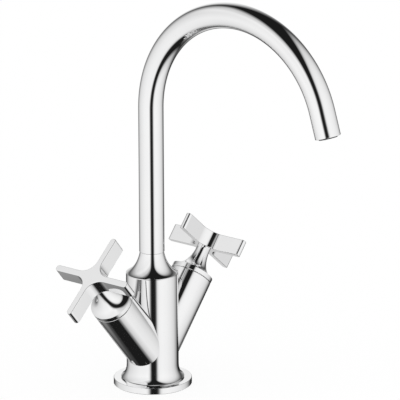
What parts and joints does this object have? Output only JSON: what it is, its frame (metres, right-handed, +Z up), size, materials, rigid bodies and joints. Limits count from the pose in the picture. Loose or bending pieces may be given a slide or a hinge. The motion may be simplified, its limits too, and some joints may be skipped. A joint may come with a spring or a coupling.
{
  "type": "bathroom mixer faucet",
  "caption": "Chrome basin mixer with a swivelling round gooseneck spout, flared column, leaning valve arms and flat-bladed cross handles that turn ceramic disc valves.",
  "frame": {"origin": "centre of the base's underside, on the deck that the faucet stands on", "axes": "+Z up along the column and the spout's swivel axis; the spout points to -Y; the hot valve arm leans to -X and the cold one to +X"},
  "size_m": [0.1806, 0.1989, 0.291],
  "materials": {
    "chrome": "polished",
    "brass": "turned",
    "rubber": "matte",
    "ceramic_disc": "lapped alumina ceramic",
    "glide_plastic": "smooth moulded",
    "aerator_plastic": "smooth moulded",
    "steel": "drawn"
  },
  "bodies": {
    "mixer": {"mixer_body": "chrome", "base_ring": "chrome", "base_seal": "rubber", "bell_nut": "chrome", "spout_glide_ring": "glide_plastic", "swivel_stop_pin": "steel", "hot_seat_seal": "rubber", "hot_fixed_disc": "ceramic_disc", "hot_valve_housing": "brass", "hot_housing_o_ring": "rubber", "hot_glide_ring": "glide_plastic", "cold_seat_seal": "rubber", "cold_fixed_disc": "ceramic_disc", "cold_valve_housing": "brass", "cold_housing_o_ring": "rubber", "cold_glide_ring": "glide_plastic"},
    "spout": {"spout_tube": "chrome", "spout_spigot": "brass", "spout_o_rings": "rubber", "aerator_housing": "aerator_plastic", "aerator_insert": "aerator_plastic", "aerator_screen": "steel", "aerator_seal": "rubber"},
    "hot_handle": {"hot_handle_cross": "chrome", "hot_handle_stem": "chrome", "hot_grub_screw": "steel", "hot_spindle": "brass", "hot_moving_disc": "ceramic_disc", "hot_spindle_o_rings": "rubber", "hot_spindle_clip": "steel"},
    "cold_handle": {"cold_handle_cross": "chrome", "cold_handle_stem": "chrome", "cold_grub_screw": "steel", "cold_spindle": "brass", "cold_moving_disc": "ceramic_disc", "cold_spindle_o_rings": "rubber", "cold_spindle_clip": "steel"}
  },
  "joints": [
    {"name": "spout_swivel", "type": "hinge", "parent": "mixer", "child": "spout", "pos_m": [0, 0, 0.0865], "axis": [0, 0, 1], "range_deg": [-60, 60]},
    {"name": "hot_handle_turn", "type": "hinge", "parent": "mixer", "child": "hot_handle", "pos_m": [0, 0, 0.0192], "axis": [-0.6494, 0, 0.7604], "range_deg": [0, 90]},
    {"name": "cold_handle_turn", "type": "hinge", "parent": "mixer", "child": "cold_handle", "pos_m": [0, 0, 0.0192], "axis": [0.6494, 0, 0.7604], "range_deg": [0, 90]}
  ]
}
